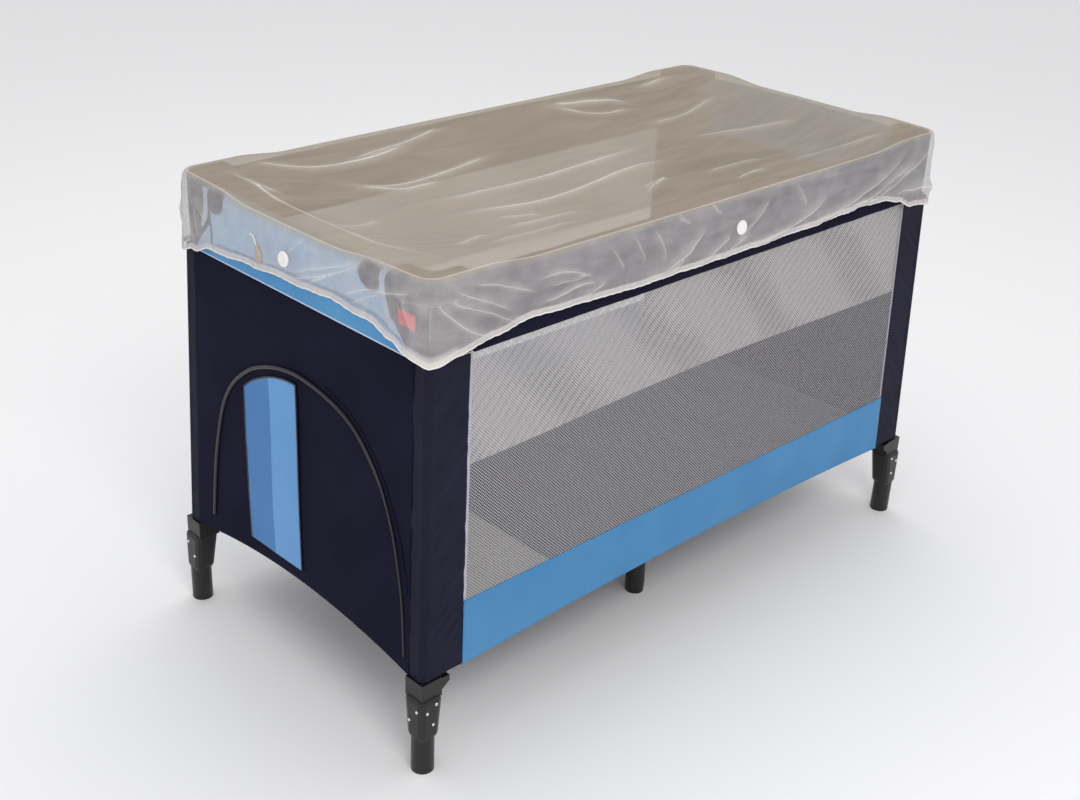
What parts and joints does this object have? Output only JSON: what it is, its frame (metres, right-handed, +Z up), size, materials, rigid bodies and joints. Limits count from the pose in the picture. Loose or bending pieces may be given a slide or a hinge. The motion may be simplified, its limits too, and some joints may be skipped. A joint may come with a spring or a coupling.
{
  "type": "mosquito net on a travel cot",
  "caption": "Sheer net with an elastic hem, pulled over the open top of a folding cot with mesh sides and moulded feet.",
  "frame": {"origin": "on the ground under the middle of the cot", "axes": "+X along the cot's length away from the near end with the arched window, +Y across to the back, +Z up"},
  "size_m": [1.2946, 0.6694, 0.8185],
  "materials": {
    "sheer_net": "fine sheer polyester net",
    "white_plastic": "white moulded, satin",
    "beige_pull": "beige moulded, satin",
    "grey_cap": "dark grey moulded, fine grain",
    "navy_cloth": "tight plain woven, matt",
    "blue_cloth": "tight plain woven, matt",
    "light_blue_cloth": "tight plain woven, matt",
    "white_mesh": "knitted see-through mesh",
    "mattress_cloth": "plain woven mattress cover",
    "black_plastic": "black moulded, satin"
  },
  "bodies": {
    "root": {"net": "sheer_net", "net_stud_front": "white_plastic", "net_stud_near": "white_plastic", "net_pull": "beige_pull", "cap_near_front": "grey_cap", "post_near_front": "navy_cloth", "foot_near_front": "black_plastic", "cap_near_back": "grey_cap", "post_near_back": "navy_cloth", "foot_near_back": "black_plastic", "rail_near": "light_blue_cloth", "panel_near": "navy_cloth", "cap_far_front": "grey_cap", "post_far_front": "navy_cloth", "foot_far_front": "black_plastic", "cap_far_back": "grey_cap", "post_far_back": "navy_cloth", "foot_far_back": "black_plastic", "rail_far": "light_blue_cloth", "panel_far": "navy_cloth", "rail_front": "navy_cloth", "mesh_front": "white_mesh", "band_front": "blue_cloth", "leg_mid_front": "black_plastic", "rail_back": "navy_cloth", "mesh_back": "white_mesh", "band_back": "blue_cloth", "leg_mid_back": "black_plastic", "floor": "navy_cloth", "mattress": "mattress_cloth"}
  },
  "joints": []
}
